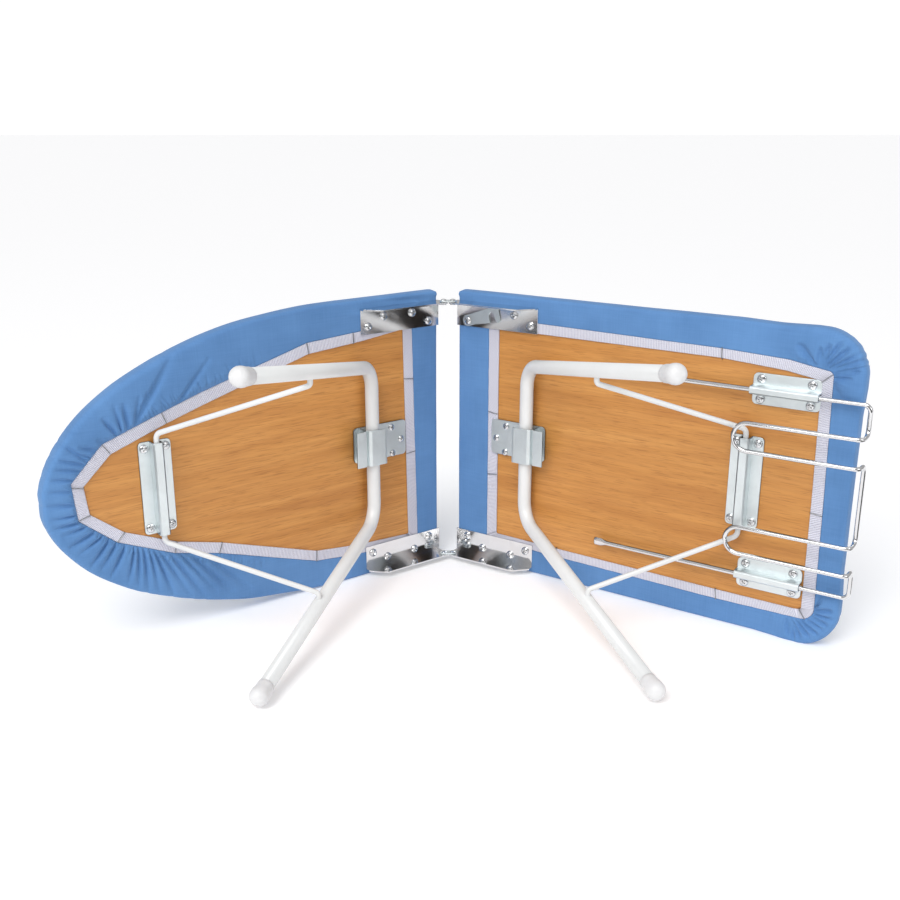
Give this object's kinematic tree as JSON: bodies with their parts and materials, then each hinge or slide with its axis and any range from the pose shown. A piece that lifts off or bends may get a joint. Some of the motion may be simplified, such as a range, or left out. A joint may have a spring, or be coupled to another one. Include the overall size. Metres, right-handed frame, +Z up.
{
  "type": "folding table-top ironing board",
  "caption": "Table-top ironing board in two hinged halves with a blue cotton cover, folding wire-strutted tube legs, snap catches, hook latch and a sliding wire iron rest.",
  "frame": {"origin": "centre of the bounding box at the floor the board stands on", "axes": "+X along the folded board from the nose towards the tail, +Z up across the width, -Y towards the opening of the fold"},
  "size_m": [0.6898, 0.3346, 0.282],
  "materials": {
    "blue_cotton": "woven, matte",
    "felt_pad": "needled felt, matte",
    "white_elastic": "ribbed, matte",
    "beech_board": "beech foil, satin",
    "bright_chrome": "mirror bright",
    "screw_steel": "zinc plated, semi-bright",
    "zinc_plate": "blue zinc, satin",
    "white_paint": "white powder coat, satin",
    "white_plastic": "moulded, satin"
  },
  "bodies": {
    "tail": {"tail_board": "beech_board", "tail_catch_plate": "zinc_plate", "tail_catch_screw_1": "screw_steel", "tail_catch_screw_2": "screw_steel", "tail_catch_screw_3": "screw_steel", "tail_cover": "blue_cotton", "tail_elastic": "white_elastic", "tail_hinge_bracket_lower": "bright_chrome", "tail_hinge_bracket_upper": "bright_chrome", "tail_hook_rivet": "screw_steel", "tail_lower_screw_1": "screw_steel", "tail_lower_screw_2": "screw_steel", "tail_lower_screw_3": "screw_steel", "tail_lower_screw_4": "screw_steel", "tail_pad": "felt_pad", "tail_rest_guide_lower": "zinc_plate", "tail_rest_guide_upper": "zinc_plate", "tail_strut_channel": "zinc_plate", "tail_upper_screw_1": "screw_steel", "tail_upper_screw_2": "screw_steel"},
    "nose": {"nose_board": "beech_board", "nose_catch_plate": "zinc_plate", "nose_catch_screw_1": "screw_steel", "nose_catch_screw_2": "screw_steel", "nose_catch_screw_3": "screw_steel", "nose_cover": "blue_cotton", "nose_elastic": "white_elastic", "nose_hinge_bracket_lower": "bright_chrome", "nose_hinge_bracket_upper": "bright_chrome", "nose_latch_stud": "screw_steel", "nose_lower_screw_1": "screw_steel", "nose_lower_screw_2": "screw_steel", "nose_lower_screw_3": "screw_steel", "nose_lower_screw_4": "screw_steel", "nose_pad": "felt_pad", "nose_strut_channel": "zinc_plate", "nose_upper_screw_1": "screw_steel", "nose_upper_screw_2": "screw_steel", "nose_upper_screw_3": "screw_steel"},
    "hinge_links": {"hinge_link_lower": "zinc_plate", "hinge_link_upper": "zinc_plate", "nose_hinge_rivet_lower": "screw_steel", "nose_hinge_rivet_upper": "screw_steel", "tail_hinge_rivet_lower": "screw_steel", "tail_hinge_rivet_upper": "screw_steel"},
    "tail_strut": {"tail_strut": "white_paint"},
    "tail_leg": {"tail_foot_cap_lower": "white_plastic", "tail_foot_cap_upper": "white_plastic", "tail_leg": "white_paint"},
    "nose_strut": {"nose_strut": "white_paint"},
    "nose_leg": {"nose_foot_cap_lower": "white_plastic", "nose_foot_cap_upper": "white_plastic", "nose_leg": "white_paint"},
    "tail_catch_lever": {"tail_catch_lever": "zinc_plate"},
    "nose_catch_lever": {"nose_catch_lever": "zinc_plate"},
    "iron_rest": {"tail_iron_rest": "bright_chrome"},
    "hook_latch": {"tail_hook_latch": "zinc_plate"}
  },
  "joints": [
    {"name": "tail_hinge", "type": "hinge", "parent": "tail", "child": "hinge_links", "pos_m": [0.00734, 0.13954, 0.141], "axis": [0, 0, 1], "range_deg": [-35.4, 25]},
    {"name": "nose_hinge", "type": "hinge", "parent": "hinge_links", "child": "nose", "pos_m": [-0.00166, 0.13954, 0.141], "axis": [0, 0, 1], "range_deg": [-35.4, 25]},
    {"name": "tail_strut_fold", "type": "hinge", "parent": "tail", "child": "tail_strut", "pos_m": [0.2589, -0.02697, 0.141], "axis": [0, 0, -1], "range_deg": [0, 36.6]},
    {"name": "tail_leg_fold", "type": "hinge", "parent": "tail_strut", "child": "tail_leg", "pos_m": [0.12345, -0.04045, 0.141], "axis": [0, 0, 1], "range_deg": [0, 73.2]},
    {"name": "tail_catch_press", "type": "hinge", "parent": "tail", "child": "tail_catch_lever", "pos_m": [0.09164, 0.09717, 0.141], "axis": [0, 0, 1], "range_deg": [0, 8], "stiffness_Nm_per_rad": 0.4},
    {"name": "nose_strut_fold", "type": "hinge", "parent": "nose", "child": "nose_strut", "pos_m": [-0.25321, -0.02697, 0.141], "axis": [0, 0, 1], "range_deg": [0, 36.6]},
    {"name": "nose_leg_fold", "type": "hinge", "parent": "nose_strut", "child": "nose_leg", "pos_m": [-0.11777, -0.04045, 0.141], "axis": [0, 0, -1], "range_deg": [0, 73.2]},
    {"name": "nose_catch_press", "type": "hinge", "parent": "nose", "child": "nose_catch_lever", "pos_m": [-0.08595, 0.09717, 0.141], "axis": [0, 0, -1], "range_deg": [0, 8], "stiffness_Nm_per_rad": 0.4},
    {"name": "iron_rest_slide", "type": "slide", "parent": "tail", "child": "iron_rest", "axis": [0.8151, -0.5793, 0], "range_m": [0, 0.125]},
    {"name": "hook_swing", "type": "hinge", "parent": "tail", "child": "hook_latch", "pos_m": [0.02331, 0.14561, 0.257], "axis": [-0.5793, -0.8151, 0], "range_deg": [-196, 0]}
  ],
  "couplings": [
    {"joint": "nose_hinge", "follows": "tail_hinge", "ratio": 1},
    {"joint": "tail_leg_fold", "follows": "tail_strut_fold", "ratio": 2},
    {"joint": "nose_leg_fold", "follows": "nose_strut_fold", "ratio": 2}
  ]
}
